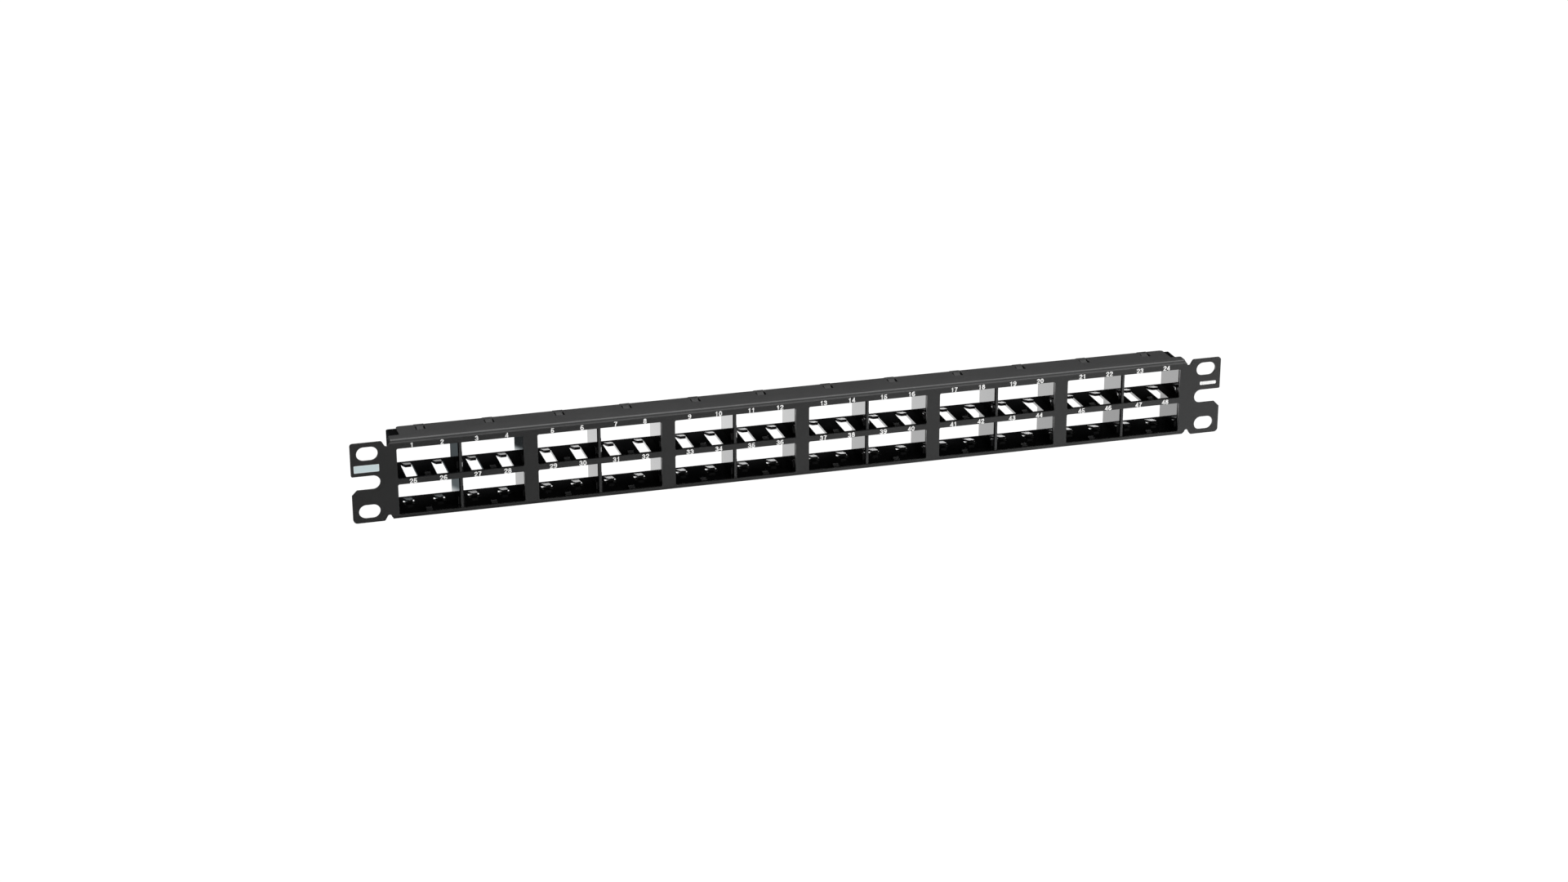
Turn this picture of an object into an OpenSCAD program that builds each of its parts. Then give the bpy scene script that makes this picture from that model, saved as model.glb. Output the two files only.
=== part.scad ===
// 1U rack patch panel for 48 snap-in jack modules.
// One folded steel panel carries six moulded module holders that clip in from
// behind. Each holder has two rows of four ports.
// Frame: X across the rack, +Y to the rear, +Z up. The origin is the centre of
// the plane where the rack ears rest on the rack rails (the ears' rear face).

/* [Panel sheet] */
// Overall width across both rack ears
panel_w = 482.6; // [481.6:0.1:483.4]
// Overall height, one rack unit less clearance
panel_h = 43.7; // [43.5:0.1:44.1]
// Thickness of the steel sheet
sheet_t = 1.2; // [1.1:0.05:1.25]
// Width of the folded body between the ears
body_w = 440.6; // [440.2:0.1:441.0]
// Outer radius of the folds along the top and bottom edges
bend_r = 2.0; // [1.8:0.1:2.1]
// Depth of the folded flanges from the front face
flange_d = 20.0; // [19.6:0.1:20.4]
// Depth of the part of each flange that runs the full body width
flange_full_d = 7.4; // [6:0.1:9]
// Half width of the rear part of each flange
flange_rear_half_w = 214.4; // [212:0.1:216]

/* [Rack ears] */
// Distance between the left and right mounting slots
slot_pitch_x = 465.1; // [464.5:0.1:465.5]
// Distance between the upper and lower mounting slots
slot_pitch_z = 31.75; // [31.5:0.05:32]
// Length of a mounting slot, end to end
slot_len = 11.2; // [9:0.1:11.6]
// Height of a mounting slot
slot_h = 7.6; // [6.8:0.1:7.8]
// Height of the open notch between the slots
notch_h = 7.7; // [7:0.1:8]
// Distance from the panel's centre to the closed end of the open notch
notch_reach = 226.3; // [225.5:0.1:228]
// Chamfer on the lower lip of the open notch
notch_chamfer = 2.75; // [1:0.25:3.5]

/* [Windows] */
// Spacing of the window groups
group_pitch = 73.667; // [73.5:0.001:73.7]
// Width of one window
window_w = 66.3; // [66.1:0.1:66.4]
// Lower edge of the upper window
upper_z0 = 0.4; // [0.1:0.1:0.8]
// Upper edge of the upper window
upper_z1 = 17.0; // [16.4:0.1:17.4]
// Lower edge of the lower window
lower_z0 = -19.4; // [-19.5:0.1:-19.0]
// Upper edge of the lower window
lower_z1 = -2.7; // [-3.2:0.1:-2.4]
// Corner radius of a window
window_r = 0.8; // [0.4:0.1:1.2]

/* [Latches] */
// Distance of each latch from the centre of its group
latch_x = 18.1; // [17:0.1:19]
// Width of the pressed latch strip
latch_w = 3.6; // [3:0.1:4]
// Width of the slit on each side of the strip
latch_slit = 0.7; // [0.5:0.1:0.8]
// Depth of the strip below the flange's top surface
latch_drop = 0.6; // [0.3:0.05:0.65]

/* [Module holders] */
// Width of one holder over its outer walls
holder_w = 68.8; // [68.4:0.1:69.4]
// Depth of a holder from the back of the sheet
holder_d = 24.55; // [22.6:0.05:26]
// Thickness of the wall in the middle of a holder
mid_wall = 2.2; // [1.8:0.1:2.4]
// Height of the upper row's floor
floor_up = -0.2; // [-0.3:0.1:0.0]
// Thickness of the upper row's floor
floor_t = 1.36; // [1.2:0.02:1.6]
// Height of the lower row's floor
floor_lo = -19.8; // [-19.85:0.05:-19.7]
// Spacing of two neighbouring ports
port_pitch = 16.1; // [15.9:0.1:16.3]
// Width of the slot in a port's floor
port_slot_w = 6.0; // [5.6:0.1:6.4]
// Width of the stop between two neighbouring ports
stop_w = 3.2; // [2.4:0.1:3.6]
// Rise of the module catch's tip above the upper row's floor
catch_rise = 2.4; // [1.8:0.1:2.4]

/* [Label] */
// Width of the label on the left ear
label_w = 13.1; // [10:0.1:13.4]
// Height of the label
label_h = 3.95; // [3:0.05:4.2]

/* [Hidden] */
$fn = 48;
over = 1;                              // how far a cutter reaches past a surface
over_small = 0.2;                      // the same for corner and chamfer cutters
front_y = -sheet_t;                    // front face of the sheet
half_w = panel_w / 2;
half_h = panel_h / 2;
bend_in_r = bend_r - sheet_t;          // inner radius of the folds
flange_y = front_y + flange_d;         // rear edge of the flanges
flange_in = half_h - sheet_t;          // inner surface of the flanges
group_x = [for (g = [0:5]) (g - 2.5) * group_pitch];

// ---- helpers ---------------------------------------------------------------

// draws in X and Z, fills from y0 to y1
module xz(y0, y1) {
    translate([0, y1, 0]) rotate([90, 0, 0]) linear_extrude(height = y1 - y0) children();
}

// draws in Y and Z, fills from x0 to x1
module yz(x0, x1) {
    translate([x0, 0, 0]) rotate([90, 0, 90]) linear_extrude(height = x1 - x0) children();
}

// draws in X and Y, fills from z0 to z1
module xy(z0, z1) {
    translate([0, 0, z0]) linear_extrude(height = z1 - z0) children();
}

// the children, drawn for +X, and their mirror image
module both_sides() {
    for (s = [0, 1]) mirror([s, 0, 0]) children();
}

// the sliver outside a corner of radius r; side_x and side_y (1 or -1) point
// out of the material
module corner(r, side_x, side_y) {
    difference() {
        translate([side_x > 0 ? -r : -over_small, side_y > 0 ? -r : -over_small])
            square(r + over_small);
        translate([-side_x * r, -side_y * r]) circle(r);
    }
}

// ---- panel sheet -----------------------------------------------------------

relief_x = body_w / 2 + 1.0;           // where the folds end at the relief notch
relief_far = 4.22;                     // outer edge of the relief notch from relief_x
relief_depth = 2.0;                    // depth of the round bottom's centre
relief_bottom_r = 1.1;                 // round bottom of the notch
relief_shoulder_r = 1.2;               // rounded shoulder towards the ear
// straight edges of the upper right notch: [x, z] from [relief_x, half_h]
relief_outline = [
    [0, -relief_depth], [-1.0, -0.65], [-1.0, over], [relief_far, over],
    [relief_far, -relief_shoulder_r], [3.18, -0.6], [2.053, -2.55],
    [relief_bottom_r, -relief_depth]];

ear_overlap = 3;                       // how far an ear's blank reaches into the body
ear_top_r = 1.5;
ear_bottom_r = 2.2;
notch_lip_r = 0.7;                     // rounding of the open notch's upper lip

flange_rear_r = 1.8;                   // plan corner at a flange's rear edge
flange_step_r = 1.0;                   // plan corner where the full width ends
flange_cut_w = 12;                     // width of the cutter beside the rear part

latch_y0 = 11.2;                       // front end of a latch strip
latch_y1 = 16.1;                       // rear end of a latch strip
latch_low_y0 = latch_y0 + 1.6;         // ends of the strip's lowest part
latch_low_y1 = latch_y0 + 2.2;
latch_overlap = 0.4;                   // overlap of strip and flange at each end

// relief notch between the upper end of a fold and its ear, upper right
module relief_2d() {
    translate([relief_x, half_h]) {
        difference() {
            polygon(relief_outline);
            translate([relief_far, -relief_shoulder_r]) circle(relief_shoulder_r);
        }
        translate([relief_bottom_r, -relief_depth]) circle(relief_bottom_r);
    }
}

// open notch at mid height of the right ear, with its rounded and chamfered lips
module open_notch_2d() {
    lip_z = notch_h / 2;
    round_x = notch_reach + notch_h / 2;
    translate([round_x, 0]) circle(notch_h / 2);
    translate([round_x, -lip_z]) square([30, notch_h]);
    translate([half_w, lip_z]) corner(notch_lip_r, 1, -1);
    polygon([[half_w - notch_chamfer, -lip_z],
             [half_w - notch_chamfer, -lip_z + over_small],
             [half_w + over_small, -lip_z + over_small],
             [half_w + over_small, -lip_z - notch_chamfer],
             [half_w, -lip_z - notch_chamfer]]);
}

module mounting_slot_2d() {
    straight = slot_len - slot_h;
    square([straight, slot_h], center = true);
    for (s = [-1, 1]) translate([s * straight / 2, 0]) circle(slot_h / 2);
}

// one ear, right side, from inside the body out to the panel's end
module ear_2d() {
    fold_cut = [ear_overlap + over, bend_r + over];
    difference() {
        translate([relief_x - ear_overlap, -half_h])
            square([half_w - relief_x + ear_overlap, panel_h]);
        // room for the folds' outer radius
        translate([relief_x - fold_cut.x, half_h - bend_r]) square(fold_cut);
        translate([relief_x - fold_cut.x, -half_h - over]) square(fold_cut);
        relief_2d();
        mirror([0, 1]) relief_2d();
        translate([half_w, half_h]) corner(ear_top_r, 1, 1);
        translate([half_w, -half_h]) corner(ear_bottom_r, 1, -1);
        open_notch_2d();
        for (s = [-1, 1])
            translate([slot_pitch_x / 2, s * slot_pitch_z / 2]) mounting_slot_2d();
    }
}

// cross-section of the folded sheet in Y and Z, front face towards -Y
module channel_2d() {
    difference() {
        translate([front_y, -half_h]) square([flange_d, panel_h]);
        difference() {
            translate([0, -flange_in]) square([flange_d + over, 2 * flange_in]);
            for (s = [-1, 1]) translate([0, s * flange_in]) corner(bend_in_r, -1, s);
        }
        for (s = [-1, 1]) translate([front_y, s * half_h]) corner(bend_r, -1, s);
    }
}

module window_2d(z0, z1) {
    difference() {
        translate([-window_w / 2, z0]) square([window_w, z1 - z0]);
        for (s = [-1, 1]) {
            translate([s * window_w / 2, z1]) corner(window_r, s, 1);
            translate([s * window_w / 2, z0]) corner(window_r, s, -1);
        }
    }
}

// plan of what is cut away at the right end of both flanges
module flange_end_2d() {
    step_y = front_y + flange_full_d;
    translate([flange_rear_half_w, step_y]) square([flange_cut_w, flange_d]);
    translate([flange_rear_half_w, flange_y]) corner(flange_rear_r, 1, 1);
    translate([body_w / 2, step_y]) corner(flange_step_r, 1, 1);
}

// opening in the top flange for a latch strip and its two slits
module latch_opening() {
    translate([-latch_w / 2 - latch_slit, latch_y0, flange_in - over])
        cube([latch_w + 2 * latch_slit, latch_y1 - latch_y0, sheet_t + 2 * over]);
}

// one pressed strip in the top flange: it dips between two slits
module latch_strip() {
    low_z = half_h - latch_drop;
    top = [[latch_y0 - latch_overlap, half_h], [latch_y0, half_h],
           [latch_low_y0, low_z], [latch_low_y1, low_z],
           [latch_y1, half_h], [latch_y1 + latch_overlap, half_h]];
    underside = [for (i = [len(top) - 1:-1:0]) top[i] - [0, sheet_t]];
    yz(-latch_w / 2, latch_w / 2) polygon(concat(top, underside));
}

module frame() {
    color("#343638") {
        difference() {
            union() {
                yz(-relief_x, relief_x) channel_2d();
                both_sides() xz(front_y, 0) ear_2d();
            }
            // relief notches carried through the folds
            both_sides()
                for (m = [0, 1]) mirror([0, 0, m])
                    xz(front_y - over, flange_y + over) relief_2d();
            for (x = group_x) translate([x, 0, 0]) {
                xz(front_y - over, over) window_2d(upper_z0, upper_z1);
                xz(front_y - over, over) window_2d(lower_z0, lower_z1);
            }
            both_sides() xy(-half_h - over, half_h + over) flange_end_2d();
            for (x = group_x, s = [-1, 1])
                translate([x + s * latch_x, 0, 0]) latch_opening();
        }
        for (x = group_x, s = [-1, 1]) translate([x + s * latch_x, 0, 0]) latch_strip();
    }
}

// ---- module holder ---------------------------------------------------------

holder_gap = 0.2;                      // clearance between holder and flange
holder_y0 = 0.1;                       // front of a holder, behind the sheet
holder_z = flange_in - holder_gap;     // half height of a holder
front_chamfer = 1.0;                   // top and bottom edges at the front
rear_drop = 2.2;                       // fall of the walls' top behind the roof
rear_chamfer = 0.4;                    // bottom edge at the rear
roof_t = 1.4;                          // thickness of a holder's roof
roof_y = 19.6;                         // rear edge of a holder's roof
floor_lo_t = holder_z + floor_lo;      // thickness of the lower row's floor

bay_x0 = mid_wall / 2;                 // side walls of a two-port bay
bay_x1 = window_w / 2;
bay_x = (bay_x0 + bay_x1) / 2;         // centre of a bay
port_x = [for (p = [-0.5, 0.5]) bay_x + p * port_pitch];
lead_w = 0.45;                         // lead-in chamfers on the bay's walls
lead_d = 1.0;

slot_up_y0 = 2.4;                      // ends of a floor slot, upper row
slot_up_y1 = 22.8;
slot_lo_y0 = 12.9;                     // ends of a floor slot, lower row
slot_lo_y1 = 20.0;
slot_over = 0.5;                       // reach of the slot cutters past a floor

groove_side = 0.4;                     // clearance beside the latch strip
groove_depth = 0.62;
groove_y1 = latch_y1 - 0.1;            // rear end of the key groove

tip_y = 13.6;                          // free end of a module catch, towards the front
ramp_y = 22.7;                         // where a catch's ramp comes down to the floor
catch_root = 0.6;                      // length of a catch behind its ramp
catch_t = 1.55;                        // thickness of a catch
tip_face = 0.15;                       // height of the small bevel on the tip
tip_bevel = 0.2;                       // depth of the same bevel
catch_rise_lo = catch_rise - 0.2;      // rise of the lower row's catches
// plan of a catch's right edge: [half width, y]
catch_edge = [[1.55, tip_y - over], [1.55, tip_y + 0.2], [1.8, tip_y + 2.0],
              [2.2, slot_up_y1], [2.2, slot_up_y1 + 2]];

// side view of a stop: [y, height above the floor]
stop_profile = [[0.6, -0.3], [0.6, 1.1], [2.5, 1.1], [2.5, 1.65],
                [3.7, 1.65], [5.2, 0], [5.2, -0.3]];

rib = [0.75, 1.4, 5.6];                // size of a guide rib
rib_y = 2.6;                           // front of a guide rib
rib_sink = 0.2;                        // depth of a rib inside wall and floor

lip_w = 5.4;                           // width of the release lip
lip_y0 = flange_y + 0.1;               // front of the release lip
lip_z0 = holder_z - 0.6;               // bottom of the lip, inside the roof
lip_z1 = half_h - 0.1;                 // top of the lip

// side view of a holder's outline
module holder_side_2d() {
    polygon([[holder_y0, -holder_z + front_chamfer], [holder_y0, holder_z - front_chamfer],
             [holder_y0 + front_chamfer, holder_z], [roof_y, holder_z],
             [holder_d, holder_z - rear_drop], [holder_d, -holder_z + rear_chamfer],
             [holder_d - rear_chamfer, -holder_z], [holder_y0 + front_chamfer, -holder_z]]);
}

// plan of one two-port bay, with lead-in chamfers on its walls
module bay_plan_2d() {
    polygon([[bay_x0 - lead_w, holder_y0 - over], [bay_x0 - lead_w, holder_y0],
             [bay_x0, holder_y0 + lead_d], [bay_x0, holder_d + over],
             [bay_x1, holder_d + over], [bay_x1, holder_y0 + lead_d],
             [bay_x1 + lead_w, holder_y0], [bay_x1 + lead_w, holder_y0 - over]]);
}

// slots in the floors, one under each port
module floor_slots() {
    for (x = port_x) translate([x - port_slot_w / 2, 0, 0]) {
        translate([0, slot_up_y0, floor_up - floor_t - slot_over])
            cube([port_slot_w, slot_up_y1 - slot_up_y0, floor_t + 2 * slot_over]);
        translate([0, slot_lo_y0, -holder_z - slot_over])
            cube([port_slot_w, slot_lo_y1 - slot_lo_y0, floor_lo_t + 2 * slot_over]);
    }
}

// key groove for the latch strip, open at the front
module key_groove() {
    y0 = holder_y0 - over;
    translate([latch_x - latch_w / 2 - groove_side, y0, holder_z - groove_depth])
        cube([latch_w + 2 * groove_side, groove_y1 - y0, 2]);
}

// what is cut from behind the roof, between the side walls and the middle wall
module roof_cut() {
    translate([0, roof_y, holder_z - roof_t - 3])
        difference() {
            translate([-window_w / 2, 0, 0]) cube([window_w, 10, 10]);
            translate([-mid_wall / 2, -over, -over]) cube([mid_wall, 12, 12]);
        }
}

// module catch: a springy tongue that rises towards the front, rooted in the
// floor at the rear; t is the floor's thickness and rise the tip's height
module catch_tongue(t, rise) {
    slope = rise / (ramp_y - tip_y);
    left_edge = [for (p = catch_edge) [-p.x, p.y]];
    right_edge = [for (i = [len(catch_edge) - 1:-1:0]) catch_edge[i]];
    intersection() {
        yz(-3, 3)
            polygon([[tip_y, rise - catch_t], [tip_y, rise - tip_face],
                     [tip_y + tip_bevel, rise - tip_bevel * slope],
                     [ramp_y, 0], [ramp_y + catch_root, 0], [ramp_y + catch_root, -t],
                     [tip_y + (rise - catch_t + t) / slope, -t]]);
        xy(-4, 4) polygon(concat(left_edge, right_edge));
    }
}

// low stepped stop between the two ports of a bay, and guide ribs on the bay's
// side walls near the front
module row_guides() {
    translate([bay_x, 0, 0]) yz(-stop_w / 2, stop_w / 2) polygon(stop_profile);
    for (x = [bay_x0 - rib_sink, bay_x1 + rib_sink - rib.x])
        translate([x, rib_y, -rib_sink]) cube(rib);
}

// release lip behind the flange's rear edge
module release_lip() {
    translate([latch_x - lip_w / 2, lip_y0, lip_z0])
        cube([lip_w, roof_y - lip_y0, lip_z1 - lip_z0]);
}

module holder() {
    color("#141516") {
        difference() {
            yz(-holder_w / 2, holder_w / 2) holder_side_2d();
            both_sides() {
                xy(floor_up, holder_z - roof_t) bay_plan_2d();
                xy(floor_lo, floor_up - floor_t) bay_plan_2d();
                floor_slots();
                key_groove();
            }
            roof_cut();
        }
        both_sides() {
            for (x = port_x) {
                translate([x, 0, floor_up]) catch_tongue(floor_t, catch_rise);
                translate([x, 0, floor_lo]) catch_tongue(floor_lo_t, catch_rise_lo);
            }
            for (z = [floor_up, floor_lo]) translate([0, 0, z]) row_guides();
            release_lip();
        }
    }
}

// holder number 1 to 6, counted from -X
module module_holder(number) {
    translate([group_x[number - 1], 0, 0]) holder();
}

// ---- label -----------------------------------------------------------------

label_x = -233.25;                     // centre of the label
label_z = 7.87;
label_t = 0.12;

module ear_label() {
    color("#b9cbd1")
        translate([label_x - label_w / 2, front_y - label_t, label_z - label_h / 2])
            cube([label_w, label_t, label_h]);
}

frame();
module_holder(1);  // module_holder_1
module_holder(2);  // module_holder_2
module_holder(3);  // module_holder_3
module_holder(4);  // module_holder_4
module_holder(5);  // module_holder_5
module_holder(6);  // module_holder_6
ear_label();
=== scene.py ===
"""A 48-port panel frame with six module holders and an ear at each end.

The panel is long in X and its front faces -Y; Z is up. The CAD pieces get finishes
and small edge radii. Port numbers, a label and a plain printed bar are added.
"""
import math

import bmesh
import bpy
from mathutils import Matrix, Vector
from mathutils.geometry import tessellate_polygon


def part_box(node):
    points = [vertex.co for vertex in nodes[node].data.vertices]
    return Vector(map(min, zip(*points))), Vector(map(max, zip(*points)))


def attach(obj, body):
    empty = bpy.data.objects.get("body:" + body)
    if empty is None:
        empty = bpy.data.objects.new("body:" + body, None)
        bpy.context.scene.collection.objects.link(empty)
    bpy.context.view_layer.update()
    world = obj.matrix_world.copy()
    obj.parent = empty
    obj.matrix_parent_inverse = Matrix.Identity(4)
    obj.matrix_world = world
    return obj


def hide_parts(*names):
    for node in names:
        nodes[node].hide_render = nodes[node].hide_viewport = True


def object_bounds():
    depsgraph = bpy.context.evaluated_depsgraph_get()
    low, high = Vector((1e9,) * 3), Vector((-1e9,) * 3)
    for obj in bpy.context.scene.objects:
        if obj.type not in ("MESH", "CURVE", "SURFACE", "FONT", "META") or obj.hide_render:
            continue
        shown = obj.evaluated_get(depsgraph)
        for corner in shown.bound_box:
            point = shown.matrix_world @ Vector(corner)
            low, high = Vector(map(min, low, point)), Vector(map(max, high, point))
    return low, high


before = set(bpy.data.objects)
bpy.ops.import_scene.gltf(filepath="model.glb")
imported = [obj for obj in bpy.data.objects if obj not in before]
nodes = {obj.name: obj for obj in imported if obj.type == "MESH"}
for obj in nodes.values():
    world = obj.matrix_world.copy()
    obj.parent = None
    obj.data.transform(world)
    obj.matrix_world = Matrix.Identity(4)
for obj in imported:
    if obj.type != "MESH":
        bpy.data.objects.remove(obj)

cad_lo, cad_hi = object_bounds()
MM = 0.001

# ------------------------------------------------------------ shader graphs
# Lengths inside shaders are in metres.

FALL = (1.0, 0.0)  # remap target for a mask that fades out


class Graph:
    """Adds nodes to the emptied tree of a material or world; most methods return a socket."""

    def __init__(self, owner):
        owner.use_nodes = True
        self.tree = owner.node_tree
        self.tree.nodes.clear()

    def fill(self, node, inputs):
        """Link or set each input of a node."""
        for key, value in inputs.items():
            if isinstance(value, bpy.types.NodeSocket):
                self.tree.links.new(value, node.inputs[key])
            else:
                node.inputs[key].default_value = value

    def new(self, kind, inputs=None, **settings):
        node = self.tree.nodes.new("ShaderNode" + kind)
        for key, value in settings.items():
            setattr(node, key, value)
        self.fill(node, inputs or {})
        return node

    def add(self, a, b):
        return self.new("Math", {0: a, 1: b}, operation="ADD").outputs[0]

    def subtract(self, a, b):
        return self.new("Math", {0: a, 1: b}, operation="SUBTRACT").outputs[0]

    def multiply(self, a, b):
        return self.new("Math", {0: a, 1: b}, operation="MULTIPLY").outputs[0]

    def minimum(self, a, b):
        return self.new("Math", {0: a, 1: b}, operation="MINIMUM").outputs[0]

    def absolute(self, a):
        return self.new("Math", {0: a, 1: 0.0}, operation="ABSOLUTE").outputs[0]

    def invert(self, mask):
        return self.subtract(1.0, mask)

    def raised(self, value, mask, by):
        """value, made larger where the mask is on."""
        return self.add(value, self.multiply(mask, by))

    def patchy(self, mask, patches, gain, least):
        """mask, broken up by patches: its strength is least + gain * patches."""
        inputs = {0: patches, 1: gain, 2: least}
        strength = self.new("Math", inputs, operation="MULTIPLY_ADD").outputs[0]
        return self.multiply(mask, strength)

    def blend(self, a, b, mask):
        """a where the mask is 0, b where it is 1."""
        kept = self.multiply(a, self.invert(mask))
        return self.add(kept, self.multiply(mask, b))

    def remap(self, value, span, to=(0.0, 1.0), kind="SMOOTHSTEP"):
        inputs = {"Value": value, "From Min": span[0], "From Max": span[1],
                  "To Min": to[0], "To Max": to[1]}
        node = self.new("MapRange", inputs, interpolation_type=kind, clamp=True)
        return node.outputs["Result"]

    def noise(self, vector, scale, detail, rough, distortion=0.0):
        inputs = {"Vector": vector, "Scale": scale, "Detail": detail,
                  "Roughness": rough, "Distortion": distortion}
        return self.new("TexNoise", inputs).outputs["Fac"]

    def mix_color(self, factor, a, b):
        return self.new("Mix", {6: a, 7: b, "Factor": factor}, data_type="RGBA").outputs[2]

    def mix_value(self, factor, a, b):
        return self.new("Mix", {2: a, 3: b, "Factor": factor}, data_type="FLOAT").outputs[0]

    def bump(self, height, strength, distance, under=None):
        """A normal from a height, laid over the normal `under` if there is one."""
        node = self.new("Bump", {"Strength": strength, "Distance": distance, "Height": height})
        if under is not None:
            self.fill(node, {"Normal": under})
        return node.outputs["Normal"]

    def object_coords(self):
        return self.new("TexCoord").outputs["Object"]

    def true_normal(self):
        return self.new("NewGeometry").outputs["True Normal"]

    def axes(self, vector):
        """The x, y and z of a vector."""
        return tuple(self.new("SeparateXYZ", {0: vector}).outputs)

    def edge_mask(self, radius):
        """1 on a rounded edge, 0 on a flat face; it carries the edges' wear and painted
        highlight.
        """
        bevel = self.new("Bevel", {"Radius": radius}, samples=6)
        geometry = self.new("NewGeometry")
        inputs = {0: bevel.outputs["Normal"], 1: geometry.outputs["Normal"]}
        dot = self.new("VectorMath", inputs, operation="DOT_PRODUCT")
        return self.remap(self.invert(dot.outputs["Value"]), span=(0.02, 0.35))


def surface_material(name):
    """A material with a Principled shader: the material, its graph and the shader."""
    material = bpy.data.materials.new(name)
    g = Graph(material)
    output = g.new("OutputMaterial")
    shader = g.new("BsdfPrincipled")
    g.fill(output, {"Surface": shader.outputs["BSDF"]})
    return material, g, shader


# ---------------------------------------------------------------- materials


def powder_coat():
    thin_film = (0.0078, 0.0080, 0.0081, 1)
    thick_film = (0.0108, 0.0110, 0.0111, 1)
    grain_color = (0.026, 0.0265, 0.027, 1)
    edge_wear_and_highlight_color = (0.055, 0.056, 0.058, 1)
    fold_shade_color = (0.0036, 0.0036, 0.0038, 1)
    grain_share = 0.25
    edge_polish = 0.06  # roughness lost on edges

    material, g, shader = surface_material("powder_coat_black")
    coords = g.object_coords()
    peel = g.noise(coords, scale=2600.0, detail=2.0, rough=0.6)  # 0.4 mm orange peel
    grain = g.noise(coords, scale=9000.0, detail=2.0, rough=0.7)  # cured powder grain
    cloud = g.noise(coords, scale=35.0, detail=4.0, rough=0.6)  # film thickness drift
    edge = g.edge_mask(radius=0.00035)
    scuff = g.remap(g.noise(coords, scale=420.0, detail=5.0, rough=0.75), span=(0.52, 0.72))
    base = g.mix_color(g.remap(cloud, span=(0.3, 0.7)), thin_film, thick_film)
    speckle = g.multiply(g.remap(grain, span=(0.45, 0.75)), grain_share)
    base = g.mix_color(speckle, base, grain_color)
    # the edges are painted lighter: partly powder worn thin, partly a painted highlight along
    # the edges
    edge_wear_and_highlight = g.patchy(edge, scuff, gain=0.45, least=0.12)
    base = g.mix_color(edge_wear_and_highlight, base, edge_wear_and_highlight_color)

    # painted shade: the inside of the lower fold, where little light reaches, is painted dark,
    # with its specular cut and its roughness raised
    normal_z = g.axes(g.true_normal())[2]
    _, y, z = g.axes(coords)
    upward = g.remap(normal_z, span=(0.85, 0.95))
    inside = g.multiply(upward, g.remap(z, span=(-0.0202, -0.0196), to=FALL))
    inside = g.multiply(inside, g.remap(y, span=(0.0005, 0.0015)))
    base = g.mix_color(inside, base, fold_shade_color)
    specular = g.remap(inside, span=(0.0, 1.0), to=(0.5, 0.15), kind="LINEAR")

    rough = g.remap(peel, span=(0.25, 0.75), to=(0.37, 0.49), kind="LINEAR")
    rough = g.subtract(rough, g.multiply(edge, edge_polish))
    rough = g.raised(rough, inside, by=0.35)
    normal = g.bump(peel, strength=0.30, distance=0.00006)
    normal = g.bump(grain, strength=0.25, distance=0.00002, under=normal)
    g.fill(shader, {"Base Color": base, "Specular IOR Level": specular,
                    "Roughness": rough, "IOR": 1.5, "Normal": normal})
    return material


def moulded_black():
    dark = (0.0038, 0.0039, 0.0041, 1)
    light = (0.0060, 0.0061, 0.0063, 1)
    edge_wear_and_highlight_color = (0.030, 0.031, 0.032, 1)
    ramp_sheen_color = (0.018, 0.0185, 0.019, 1)
    rim_color = (0.016, 0.0163, 0.0166, 1)
    nose_color = (0.002, 0.002, 0.0021, 1)

    material, g, shader = surface_material("moulded_plastic_black")
    coords = g.object_coords()
    # sink and flow marks
    flow = g.noise(coords, scale=60.0, detail=3.0, rough=0.5, distortion=0.4)
    micro = g.noise(coords, scale=5200.0, detail=2.0, rough=0.6)
    rub = g.remap(g.noise(coords, scale=700.0, detail=4.0, rough=0.7), span=(0.55, 0.75))
    edge = g.edge_mask(radius=0.00025)
    base = g.mix_color(g.remap(flow, span=(0.35, 0.65)), dark, light)
    # the edges are painted lighter: partly rub wear, partly a painted highlight along the edges
    base = g.mix_color(g.patchy(edge, rub, gain=0.4, least=0.1), base, edge_wear_and_highlight_color)

    # the catches' ramps are satin: modules slide over them. Their lighter colour is partly a
    # painted reflection of the light above, partly rub wear in patches
    _, normal_y, normal_z = g.axes(g.true_normal())
    tilted = g.remap(normal_y, span=(0.19, 0.22))
    ramp = g.multiply(tilted, g.remap(normal_y, span=(0.31, 0.34), to=FALL))
    ramp = g.multiply(ramp, g.remap(normal_z, span=(0.85, 0.92)))
    base = g.mix_color(g.patchy(ramp, rub, gain=0.5, least=0.4), base, ramp_sheen_color)

    # the walls' and floors' front edges are matt, the catches' noses dull
    y = g.axes(coords)[1]
    facing = g.remap(normal_y, span=(-0.95, -0.80), to=FALL)
    rim = g.multiply(facing, g.remap(y, span=(0.0003, 0.0005), to=FALL))
    nose = g.multiply(facing, g.remap(y, span=(0.0100, 0.0110)))
    base = g.mix_color(rim, base, rim_color)
    base = g.mix_color(nose, base, nose_color)
    specular = g.remap(nose, span=(0.0, 1.0), to=(0.5, 0.12), kind="LINEAR")

    rough = g.remap(flow, span=(0.3, 0.7), to=(0.055, 0.085), kind="LINEAR")
    rough = g.raised(rough, rub, by=0.03)
    rough = g.raised(rough, ramp, by=0.17)
    rough = g.raised(rough, rim, by=0.36)
    normal = g.bump(flow, strength=0.10, distance=0.00012)
    normal = g.bump(micro, strength=0.05, distance=0.000006, under=normal)
    g.fill(shader, {"Base Color": base, "Specular IOR Level": specular,
                    "Roughness": rough, "IOR": 1.52, "Normal": normal})
    return material


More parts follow.
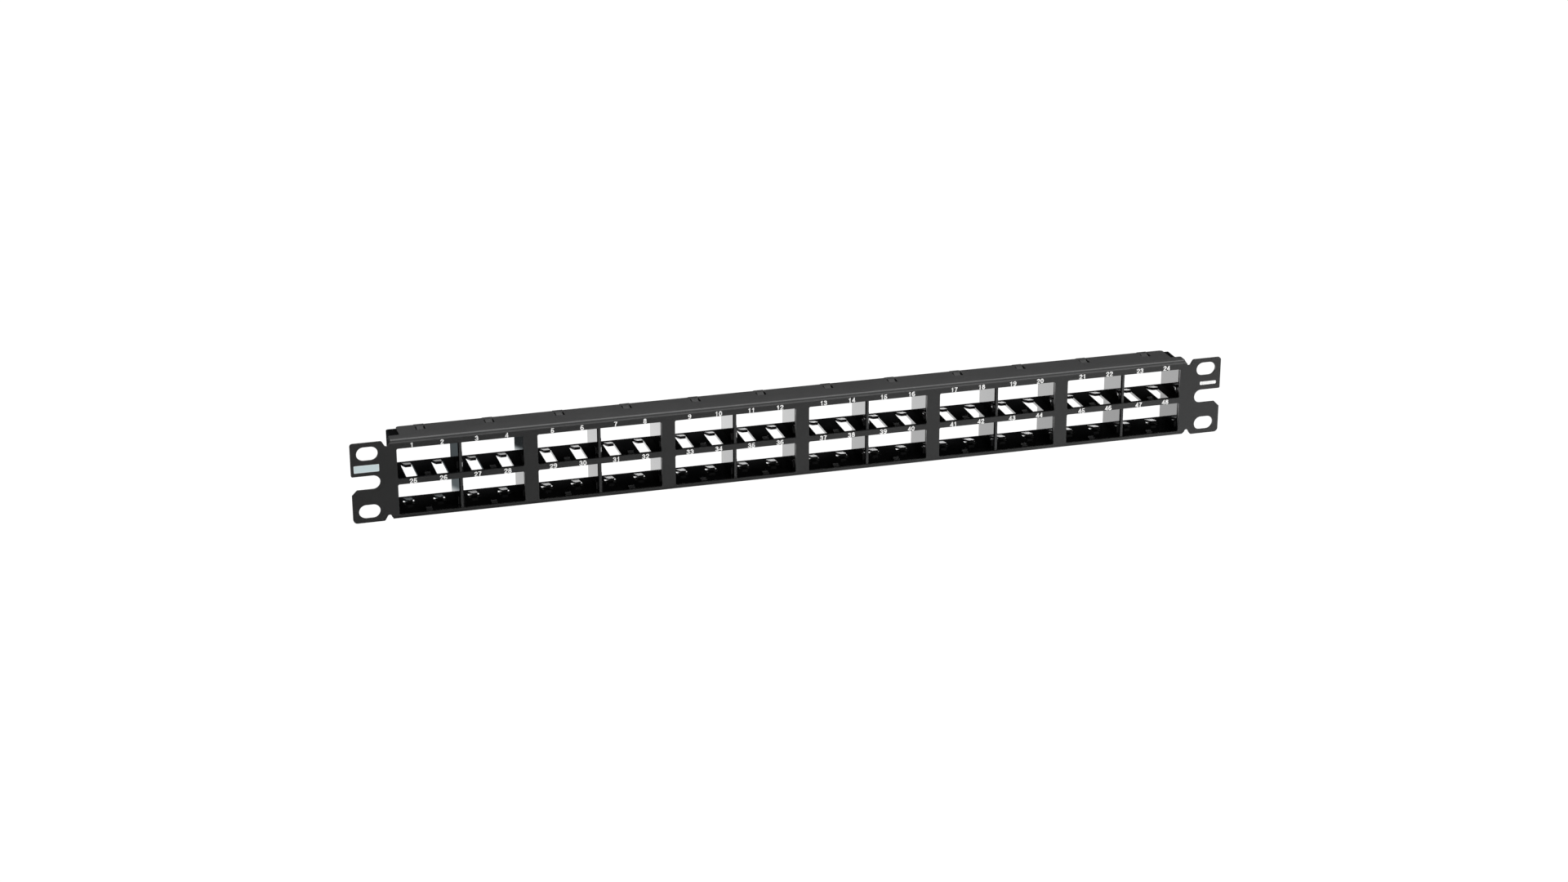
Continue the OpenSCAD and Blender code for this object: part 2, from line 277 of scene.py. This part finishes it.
def label_film():
    fibre_dark = (0.60, 0.72, 0.74, 1)
    fibre_light = (0.67, 0.79, 0.81, 1)
    border_color = (0.77, 0.86, 0.87, 1)

    material, g, shader = surface_material("label_film_pale")
    lo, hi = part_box("ear_label")
    coords = g.object_coords()
    x, _, z = g.axes(coords)

    def edge_distance(place, low, high):
        """Distance inward from the nearer of two opposite edges."""
        off_centre = g.absolute(g.subtract(place, (low + high) / 2))
        return g.subtract((high - low) / 2, off_centre)

    inset = g.minimum(edge_distance(x, lo.x, hi.x), edge_distance(z, lo.z, hi.z))
    border = g.remap(inset, span=(0.00025, 0.00040), to=FALL)
    fibre = g.noise(coords, scale=3800.0, detail=4.0, rough=0.7)
    base = g.mix_color(fibre, fibre_dark, fibre_light)
    base = g.mix_color(border, base, border_color)
    rough = g.remap(fibre, span=(0.3, 0.7), to=(0.42, 0.55), kind="LINEAR")
    normal = g.bump(fibre, strength=0.15, distance=0.00002)
    g.fill(shader, {"Base Color": base, "Roughness": rough, "Normal": normal})
    return material


def printed_ink():
    thin_ink = (0.84, 0.84, 0.83, 1)
    full_ink = (0.93, 0.93, 0.92, 1)

    material, g, shader = surface_material("printed_ink_white")
    cover = g.noise(g.object_coords(), scale=5200.0, detail=3.0, rough=0.7)
    base = g.mix_color(g.remap(cover, span=(0.25, 0.60)), thin_ink, full_ink)
    rough = g.remap(cover, span=(0.3, 0.7), to=(0.40, 0.55), kind="LINEAR")
    normal = g.bump(cover, strength=0.2, distance=0.00002)
    g.fill(shader, {"Base Color": base, "Roughness": rough, "Normal": normal})
    return material


POWDER = powder_coat()
PLASTIC = moulded_black()
LABEL = label_film()
INK = printed_ink()

# --------------------------------------------------------------- CAD pieces


def add_bevel(piece, name, width, angle):
    """Round the edges sharper than angle (degrees); width in mm."""
    bevel = piece.modifiers.new(name, "BEVEL")
    bevel.width = width * MM
    bevel.segments = 2
    bevel.limit_method = "ANGLE"
    bevel.angle_limit = math.radians(angle)
    return bevel


def dress(piece, material, bevel_width, angle):
    """Give a CAD node its finish and small real edge radii."""
    piece.data.materials.clear()
    piece.data.materials.append(material)
    with bpy.context.temp_override(object=piece, active_object=piece, selected_objects=[piece]):
        if piece.data.has_custom_normals:
            bpy.ops.mesh.customdata_custom_splitnormals_clear()
    for polygon in piece.data.polygons:
        polygon.use_smooth = True
        polygon.material_index = 0
    merge = piece.modifiers.new("merge", "WELD")
    merge.merge_threshold = 1e-6
    flats = piece.modifiers.new("flats", "DECIMATE")
    flats.decimate_type = "DISSOLVE"
    flats.angle_limit = math.radians(0.4)
    bevel = add_bevel(piece, "edges", bevel_width, angle)
    bevel.miter_outer = "MITER_SHARP"
    bevel.use_clamp_overlap = True
    bevel.harden_normals = True
    bevel.loop_slide = True


dress(nodes["frame"], POWDER, bevel_width=0.14, angle=20.0)
for i in range(1, 7):
    holder = nodes["module_holder_%d" % i]
    dress(holder, PLASTIC, bevel_width=0.12, angle=9.0)
    # bevel corners that fall on one another are joined, so that no sliver is left
    join = holder.modifiers.new("join", "WELD")
    join.merge_threshold = 2e-6

# ------------------------------------------------------------- digit shapes
# A digit is a union of strokes in a box DIGIT_WIDTH wide and 1 high:
# ("bar", x0, y0, x1, y1) is a square-ended block,
# ("pen", half_width, points) is a round-ended stroke.

DIGIT_WIDTH = 0.70
DIGIT_PITCH = 0.775
PEN = 0.104         # half width of a full stroke
CURVE = PEN - 0.004  # half width of most curved strokes


def arc(cx, cy, rx, ry, start, end, steps=22):
    """Points along an elliptical arc, angles in degrees."""
    points = []
    for k in range(steps + 1):
        angle = math.radians(start + (end - start) * k / steps)
        points.append((cx + rx * math.cos(angle), cy + ry * math.sin(angle)))
    return points


SIX = [
    ("pen", CURVE, arc(0.355, 0.315, 0.250, 0.225, 0, 360)),
    ("pen", CURVE, arc(0.405, 0.470, 0.300, 0.440, 195, 62)),
]
DIGITS = {
    "0": [("pen", PEN, arc(0.35, 0.5, 0.247, 0.408, 0, 360, 30))],
    "1": [("bar", 0.30, 0.0, 0.495, 1.0),
          ("pen", 0.068, [(0.16, 0.745), (0.28, 0.775), (0.36, 0.86), (0.38, 0.93)])],
    "2": [("pen", PEN, arc(0.35, 0.690, 0.240, 0.218, 172, -38)),
          ("pen", PEN - 0.008, [(0.535, 0.552), (0.385, 0.415), (0.215, 0.265), (0.13, 0.11)]),
          ("bar", 0.03, 0.0, 0.67, 0.165)],
    "3": [("pen", CURVE, arc(0.345, 0.715, 0.215, 0.196, 165, -90)),
          ("pen", CURVE, arc(0.345, 0.300, 0.250, 0.212, 90, -165)),
          ("bar", 0.26, 0.445, 0.36, 0.590)],
    "4": [("bar", 0.415, 0.0, 0.600, 1.0),
          ("bar", 0.015, 0.205, 0.690, 0.365),
          ("pen", 0.082, [(0.105, 0.315), (0.49, 0.905)])],
    "5": [("bar", 0.14, 0.835, 0.645, 1.0),
          ("pen", 0.080, [(0.205, 0.90), (0.150, 0.52)]),
          ("pen", PEN, arc(0.335, 0.325, 0.250, 0.237, 142, -165))],
    "6": SIX,
    "7": [("bar", 0.03, 0.835, 0.665, 1.0),
          ("pen", PEN, [(0.575, 0.885), (0.455, 0.70), (0.355, 0.46), (0.300, 0.22),
                        (0.285, -0.05)])],
    "8": [("pen", PEN - 0.006, arc(0.35, 0.728, 0.205, 0.186, 0, 360)),
          ("pen", CURVE, arc(0.35, 0.300, 0.246, 0.212, 0, 360))],
    # a six turned by half a turn
    "9": [(kind, half, [(DIGIT_WIDTH - x, 1.0 - y) for x, y in points])
          for kind, half, points in SIX],
}

# sampling grid for the outlines: it overlaps the digit's box on every side
GRID_STEP = 0.03
GRID_X, GRID_Y = -0.0703, -0.0603
GRID_COLUMNS = int(0.84 / GRID_STEP) + 1
GRID_ROWS = int(1.12 / GRID_STEP) + 1
STRAIGHT = 2e-6  # a corner with less turn (cross product) than this is dropped


def distance_to_line(points, x, y):
    nearest = 9.0
    for (ax, ay), (bx, by) in zip(points, points[1:]):
        ux, uy = bx - ax, by - ay
        t = max(0.0, min(1.0, ((x - ax) * ux + (y - ay) * uy) / (ux * ux + uy * uy)))
        nearest = min(nearest, math.hypot(x - ax - t * ux, y - ay - t * uy))
    return nearest


def ink_depth(strokes, x, y):
    """Positive inside the ink, negative outside; cut off at the box's foot and top."""
    deepest = -9.0
    for kind, *shape in strokes:
        if kind == "bar":
            x0, y0, x1, y1 = shape
            depth = min(x - x0, x1 - x, y - y0, y1 - y)
        else:
            half_width, points = shape
            depth = half_width - distance_to_line(points, x, y)
        deepest = max(deepest, depth)
    return min(deepest, y + 0.0005, 1.0005 - y)


def without_straight_points(loop):
    kept = []
    for t, (bx, by) in enumerate(loop):
        ax, ay = loop[t - 1]
        cx, cy = loop[(t + 1) % len(loop)]
        if abs((bx - ax) * (cy - by) - (by - ay) * (cx - bx)) > STRAIGHT:
            kept.append((bx, by))
    return kept


def digit_loops(strokes):
    """Closed outlines of a digit, by marching squares."""
    # a sample is never exactly zero, so that each crossing is clear
    depth = [[ink_depth(strokes, GRID_X + i * GRID_STEP, GRID_Y + k * GRID_STEP) or 1e-9
              for k in range(GRID_ROWS + 1)] for i in range(GRID_COLUMNS + 1)]

    def crossing(start, end):
        """Where the outline cuts a grid edge."""
        (i0, k0), (i1, k1) = start, end
        t = depth[i0][k0] / (depth[i0][k0] - depth[i1][k1])
        return (GRID_X + (i0 + (i1 - i0) * t) * GRID_STEP,
                GRID_Y + (k0 + (k1 - k0) * t) * GRID_STEP)

    following = {}  # cut grid edge -> (next cut edge, point on this edge)
    for i in range(GRID_COLUMNS):
        for k in range(GRID_ROWS):
            corners = [(i, k), (i + 1, k), (i + 1, k + 1), (i, k + 1)]
            entries, exits = [], []
            for a, b in zip(corners, corners[1:] + corners[:1]):
                edge = (min(a, b), max(a, b))
                if depth[a[0]][a[1]] > 0 >= depth[b[0]][b[1]]:
                    exits.append((edge, crossing(*edge)))
                elif depth[a[0]][a[1]] <= 0 < depth[b[0]][b[1]]:
                    entries.append((edge, crossing(*edge)))
            for edge, (x, y) in exits:
                # where two outlines pass through a cell, each exit takes the nearest entry
                nearest = min(entries, key=lambda e: (e[1][0] - x) ** 2 + (e[1][1] - y) ** 2)
                following[edge] = (nearest[0], (x, y))

    loops = []
    while following:
        edge = next(iter(following))
        loop = []
        while edge in following:
            edge, point = following.pop(edge)
            loop.append(point)
        loop = without_straight_points(loop)
        if len(loop) > 2:
            loops.append(loop)
    return loops


GLYPHS = {digit: digit_loops(strokes) for digit, strokes in DIGITS.items()}

# ------------------------------------------------------------ printed parts
# Places and sizes in mm.

PANEL_FRONT = -1.2                # y of the panel's front face
INK_FRONT = PANEL_FRONT - 0.03
INK_BACK = PANEL_FRONT + 0.005    # just inside the panel
GROUP_PITCH = 73.667
GROUPS = [(g - 2.5) * GROUP_PITCH for g in range(6)]
GROUPS[-1] += 0.5                 # the last group is printed a little further right
NUMERALS = [-25.18, -9.45, 8.55, 24.31]  # x of each number's middle in its group
NUMERAL_HEIGHT = 2.65
UPPER_ROW_Z = 17.15
LOWER_ROW_Z = -2.62
LABEL_CORNER = 0.30


def finish_print(name, bm, material):
    """Turn a bmesh into an object that rides on the panel."""
    bmesh.ops.recalc_face_normals(bm, faces=bm.faces)
    mesh = bpy.data.meshes.new(name)
    bm.to_mesh(mesh)
    bm.free()
    mesh.materials.append(material)
    piece = bpy.data.objects.new(name, mesh)
    bpy.context.scene.collection.objects.link(piece)
    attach(piece, "panel")
    return piece


def add_digit(bm, loops, x0, z0, height):
    """One raised digit; its box's lower left corner and height are in metres."""
    outline = [point for loop in loops for point in loop]
    front, back = [
        [bm.verts.new((x0 + x * height, y * MM, z0 + z * height)) for x, z in outline]
        for y in (INK_FRONT, INK_BACK)]
    for a, b, c in tessellate_polygon([[Vector((x, z, 0)) for x, z in loop] for loop in loops]):
        if len({a, b, c}) == 3:
            bm.faces.new((front[a], front[b], front[c]))
            bm.faces.new((back[c], back[b], back[a]))
    first = 0
    for loop in loops:
        for t in range(len(loop)):
            u, v = first + t, first + (t + 1) % len(loop)
            bm.faces.new((front[u], front[v], back[v], back[u]))
        first += len(loop)


def port_numbers(name, first, row_z):
    """A row of printed port numbers: thin raised ink with clean edges."""
    bm = bmesh.new()
    height = NUMERAL_HEIGHT * MM
    middles = [group + numeral for group in GROUPS for numeral in NUMERALS]
    for number, middle in enumerate(middles, first):
        text = str(number)
        width = DIGIT_WIDTH + DIGIT_PITCH * (len(text) - 1)
        for place, digit in enumerate(text):
            x0 = middle * MM + (place * DIGIT_PITCH - width / 2) * height
            add_digit(bm, GLYPHS[digit], x0, row_z * MM, height)
    finish_print(name, bm, INK)


def round_rect(cx, cz, width, height, radius, steps=6):
    points = []
    for sx, sz, start in ((1, 1, 0), (-1, 1, 90), (-1, -1, 180), (1, -1, 270)):
        for k in range(steps + 1):
            angle = math.radians(start + 90.0 * k / steps)
            points.append((cx + sx * (width / 2 - radius) + radius * math.cos(angle),
                           cz + sz * (height / 2 - radius) + radius * math.sin(angle)))
    return points


def slab(name, outline, y_front, y_back, material):
    """A thin flat shape from an outline of x, z points."""
    bm = bmesh.new()
    bm.faces.new([bm.verts.new((x * MM, y_front * MM, z * MM)) for x, z in outline])
    extruded = bmesh.ops.extrude_face_region(bm, geom=list(bm.faces))
    for item in extruded["geom"]:
        if isinstance(item, bmesh.types.BMVert):
            item.co.y = y_back * MM
    return finish_print(name, bm, material)


def ear_label():
    """A cut film with rounded corners in the CAD label's own box."""
    lo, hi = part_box("ear_label")
    outline = round_rect((lo.x + hi.x) / 2 / MM, (lo.z + hi.z) / 2 / MM,
                         (hi.x - lo.x) / MM, (hi.z - lo.z) / MM, LABEL_CORNER)
    label = slab("label_on_left_ear", outline, lo.y / MM, hi.y / MM, LABEL)
    add_bevel(label, "edge", width=0.04, angle=40)
    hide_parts("ear_label")


port_numbers("port_numbers_upper", 1, UPPER_ROW_Z)
port_numbers("port_numbers_lower", 25, LOWER_ROW_Z)
ear_label()
# one plain solid bar
bar_outline = round_rect(cx=234.02, cz=7.6, width=9.6, height=1.9, radius=0.5)
slab("plain_bar_on_right_ear", bar_outline, INK_FRONT, INK_BACK, INK)

# -------------------------------------------------------------------- stage
# Floor and sky glow differently by direction as the object sees them;
# a camera ray sees plain white instead.

BACKDROP = 1.05
REAR_FADE = 0.35  # share of the rear glow left far behind the object
FLOOR = {"front_left": 0.13, "front_right": 0.72, "front_far": 0.0, "rear": 2.35}
# by height; f is front, r is rear, fl and fr are the front's left and right
SKY = {"low_fl": 0.0, "low_fr": 7.2, "low_r": 0.0,
       "mid_fl": 0.0, "mid_fr": 2.0, "mid_r": 0.0,
       "top_f": 0.3, "top_r": 5.4}


def front_glow(g, x, y):
    near = g.remap(x, span=(-0.25, 0.25), to=(FLOOR["front_left"], FLOOR["front_right"]),
                   kind="LINEAR")
    beyond = g.remap(y, span=(-0.34, -0.16), to=FALL)
    far = g.remap(x, span=(-0.25, 0.15), to=(FLOOR["front_far"], FLOOR["front_far"]))
    return g.blend(near, far, beyond)


def flag_mask(g, x, y):
    """A dark flag behind the object's left end, with a slanting right side."""
    right_side = {"x": 0.19, "y": 0.03, "slant": 0.5}  # passes through -x, y
    slant = g.multiply(g.subtract(y, right_side["y"]), right_side["slant"])
    line = g.subtract(g.add(x, right_side["x"]), slant)
    reach = g.subtract(y, g.remap(x, span=(-0.222, -0.212), to=(0.085, 0.0)))
    return g.multiply(g.remap(line, span=(-0.004, 0.004), to=FALL),
                      g.remap(reach, span=(0.115, 0.135), to=FALL))


def flag_glow(g, x, y):
    """Share of the rear glow left on the flag."""
    near_level, left_level, right_level = 0.21, 0.11, 0.032
    near_shift = 1.0  # moves the left-right step clear of the near strip

    def near_strip():
        return g.remap(y, span=(0.060, 0.078), to=FALL)

    lift = g.multiply(near_strip(), near_level - left_level)
    shifted = g.subtract(x, g.multiply(near_strip(), near_shift))
    step = g.remap(shifted, span=(-0.200, -0.184), to=(left_level, right_level))
    glow = g.add(lift, step)
    return g.multiply(glow, g.remap(x, span=(-0.222, -0.212), to=(0.15, 1.0)))


def rear_glow(g, x, y, flag):
    far_left_loss = 0.40
    glow = g.multiply(g.remap(y, span=(0.12, 0.60), to=(1.0, REAR_FADE)), FLOOR["rear"])
    glow = g.multiply(glow, g.remap(y, span=(0.045, 0.085), to=(0.80, 1.0)))
    sideways = g.multiply(g.remap(x, span=(-0.15, -0.07), to=(0.68, 1.0)),
                          g.remap(x, span=(-0.06, 0.16), to=(1.0, 1.15)))
    glow = g.multiply(glow, sideways)
    lit = g.add(g.invert(flag), g.multiply(flag, flag_glow(g, x, y)))
    glow = g.multiply(glow, lit)
    far_left = g.multiply(g.remap(x, span=(-0.15, -0.10), to=FALL),
                          g.remap(y, span=(0.115, 0.135)))
    return g.multiply(glow, g.invert(g.multiply(far_left, far_left_loss)))


def floor_material():
    """Glows upward by place; clear from below."""
    white = (1.0, 1.0, 1.0, 1)
    bluish = (0.86, 1.0, 1.06, 1)

    material = bpy.data.materials.new("white_sweep")
    g = Graph(material)
    output = g.new("OutputMaterial")
    geometry = g.new("NewGeometry")
    x, y, _ = g.axes(geometry.outputs["Position"])
    camera_ray = g.new("LightPath").outputs["Is Camera Ray"]
    front = front_glow(g, x, y)
    flag = flag_mask(g, x, y)
    rear = rear_glow(g, x, y, flag)
    behind = g.remap(y, span=(-0.002, 0.018), kind="LINEAR")
    glow = g.add(g.multiply(front, g.invert(behind)), g.multiply(rear, behind))
    strength = g.mix_value(camera_ray, glow, BACKDROP)
    blue = g.multiply(g.multiply(behind, flag), g.invert(camera_ray))
    color = g.mix_color(blue, white, bluish)
    emission = g.new("Emission", {"Color": color, "Strength": strength})
    clear = g.new("BsdfTransparent")
    sides = g.new("MixShader", {0: geometry.outputs["Backfacing"],
                                1: emission.outputs[0], 2: clear.outputs[0]})
    g.fill(output, {"Surface": sides.outputs[0]})
    return material


def build_floor():
    half_size = 8
    z = cad_lo.z - 0.0002  # a hair below the object
    corners = [(sx * half_size, sy * half_size, z)
               for sx, sy in ((-1, -1), (1, -1), (1, 1), (-1, 1))]
    mesh = bpy.data.meshes.new("floor")
    mesh.from_pydata(corners, [], [(0, 1, 2, 3)])
    floor = bpy.data.objects.new("floor", mesh)
    bpy.context.scene.collection.objects.link(floor)
    mesh.materials.append(floor_material())


def build_world():
    """Sky in three bands of height, split front from rear and left from right."""
    world = bpy.data.worlds.new("studio")
    bpy.context.scene.world = world
    g = Graph(world)
    output = g.new("OutputWorld")
    background = g.new("Background")
    g.fill(output, {"Surface": background.outputs[0]})
    x, y, z = g.axes(g.new("TexCoord").outputs["Generated"])
    low = g.remap(z, span=(0.22, 0.40), to=FALL)
    top = g.remap(z, span=(0.60, 0.80))
    mid = g.subtract(g.invert(low), top)
    fore = g.remap(y, span=(-0.20, 0.20), to=FALL)
    right = g.remap(x, span=(-0.50, 0.50))

    def both_sides(left_value, right_value):
        return g.add(g.multiply(right, right_value - left_value), left_value)

    def fore_and_aft(front_value, rear_value):
        return g.add(g.multiply(g.subtract(front_value, rear_value), fore), rear_value)

    low_front = both_sides(SKY["low_fl"], SKY["low_fr"])
    sky = g.multiply(low, fore_and_aft(low_front, SKY["low_r"]))
    mid_front = both_sides(SKY["mid_fl"], SKY["mid_fr"])
    sky = g.add(sky, g.multiply(mid, fore_and_aft(mid_front, SKY["mid_r"])))
    sky = g.add(sky, g.multiply(top, fore_and_aft(SKY["top_f"], SKY["top_r"])))
    # below the horizon the floor's far glow goes on
    below = g.remap(z, span=(-0.01, 0.0), to=FALL, kind="LINEAR")
    sky = g.blend(sky, FLOOR["rear"] * REAR_FADE, below)
    camera_ray = g.new("LightPath").outputs["Is Camera Ray"]
    g.fill(background, {"Strength": g.mix_value(camera_ray, sky, BACKDROP)})


def build_camera():
    """In front of the object, to its left and above, looking down at it."""
    data = bpy.data.cameras.new("camera")
    data.lens = 69.22
    data.shift_x = -0.00068
    data.shift_y = 0.00029
    data.sensor_width = 36.0
    data.sensor_fit = "HORIZONTAL"
    data.clip_start = 0.01
    data.clip_end = 50.0
    camera = bpy.data.objects.new("camera", data)
    bpy.context.scene.collection.objects.link(camera)
    # columns: right, up, backward, place
    camera.matrix_world = Matrix((
        (0.95926, 0.10028, -0.26414, -0.43402),
        (-0.28254, 0.33974, -0.89708, -1.44226),
        (-0.00022, 0.93516, 0.35423, 0.56794),
        (0.0, 0.0, 0.0, 1.0),
    ))
    bpy.context.scene.camera = camera


build_floor()
build_world()
build_camera()

view = bpy.context.scene.view_settings
view.view_transform = "Standard"
view.look = "None"
view.exposure = 0.0
view.gamma = 1.0
